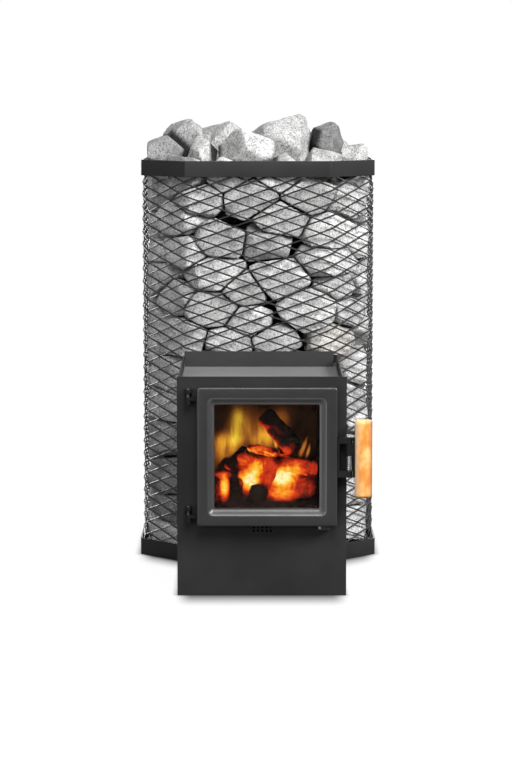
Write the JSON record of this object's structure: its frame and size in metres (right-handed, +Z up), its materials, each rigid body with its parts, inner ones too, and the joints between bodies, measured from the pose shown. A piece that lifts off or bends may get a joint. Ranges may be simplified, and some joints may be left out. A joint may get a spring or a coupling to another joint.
{
  "type": "sauna heater stove",
  "caption": "Wood-burning sauna heater: an octagonal mesh cage heaped with stones round a firebox, fed through a front tunnel with a glazed hinged door, sprung latch and wooden grip.",
  "frame": {"origin": "on the floor, on the vertical axis of the stone cage, in the underside of the base plate", "axes": "+Z up, -Y out of the door towards the user, +X to the right of someone who faces the door"},
  "size_m": [0.498, 0.923, 0.932],
  "materials": {
    "stove_paint": "satin black heat-resistant paint",
    "mesh_steel": "dark grey coated expanded metal",
    "raw_plate": "sooted mild-steel plate",
    "cast_grate": "rough cast iron",
    "firebrick": "matt fired brick",
    "bare_steel": "bright drawn steel",
    "seal_rope": "woven glass-fibre seal",
    "fire_glass": "clear glass ceramic",
    "grip_wood": "oiled light hardwood",
    "sauna_stone": "crushed olivine stone"
  },
  "bodies": {
    "stove": {"base_plate": "stove_paint", "base_ring": "stove_paint", "top_ring": "stove_paint", "collar_plate": "stove_paint", "left_cheek": "stove_paint", "right_cheek": "stove_paint", "top_cover": "stove_paint", "tunnel_floor": "stove_paint", "front_plate": "stove_paint", "hinge_bracket_upper": "stove_paint", "hinge_bracket_lower": "stove_paint", "mesh_front": "mesh_steel", "mesh_front_right": "mesh_steel", "mesh_right": "mesh_steel", "mesh_rear_right": "mesh_steel", "mesh_rear": "mesh_steel", "mesh_rear_left": "mesh_steel", "mesh_left": "mesh_steel", "mesh_front_left": "mesh_steel", "firebox_shell": "raw_plate", "firebox_lid": "raw_plate", "smoke_box": "raw_plate", "flue_collar": "raw_plate", "smoke_baffle": "raw_plate", "hearth_plate": "raw_plate", "fire_tunnel": "raw_plate", "grate": "cast_grate", "firebrick_left": "firebrick", "firebrick_right": "firebrick", "firebrick_rear": "firebrick", "ash_pan": "bare_steel", "ash_pan_floor": "bare_steel", "slide_guide_upper": "bare_steel", "slide_guide_lower": "bare_steel", "hinge_pin_upper": "bare_steel", "hinge_pin_lower": "bare_steel", "stones_left": "sauna_stone", "stones_right": "sauna_stone", "stones_rear": "sauna_stone", "stones_front": "sauna_stone", "stones_top": "sauna_stone"},
    "door": {"door_frame": "stove_paint", "glass_gasket": "seal_rope", "door_glass": "fire_glass", "glass_retainer": "stove_paint", "retainer_screw_upper_left": "bare_steel", "retainer_screw_upper_right": "bare_steel", "retainer_screw_lower_left": "bare_steel", "retainer_screw_lower_right": "bare_steel", "door_gasket": "seal_rope", "hinge_tongue_upper": "stove_paint", "hinge_tongue_lower": "stove_paint", "latch_bracket": "stove_paint", "latch_pin": "bare_steel", "latch_spring": "bare_steel"},
    "handle": {"handle_lever": "stove_paint", "handle_grip": "grip_wood", "grip_screw_lower": "bare_steel", "grip_screw_upper": "bare_steel"},
    "slide": {"air_slide": "bare_steel"}
  },
  "joints": [
    {"name": "door_hinge", "type": "hinge", "parent": "stove", "child": "door", "pos_m": [-0.136, -0.616, 0.2785], "axis": [0, 0, -1], "range_deg": [0, 115]},
    {"name": "handle_pivot", "type": "hinge", "parent": "door", "child": "handle", "pos_m": [0.177, -0.616, 0.276], "axis": [0, 0, -1], "range_deg": [0, 20], "stiffness_Nm_per_rad": 1.5},
    {"name": "air_slide_travel", "type": "slide", "parent": "stove", "child": "slide", "axis": [-1, 0, 0], "range_m": [0, 0.0042]}
  ]
}
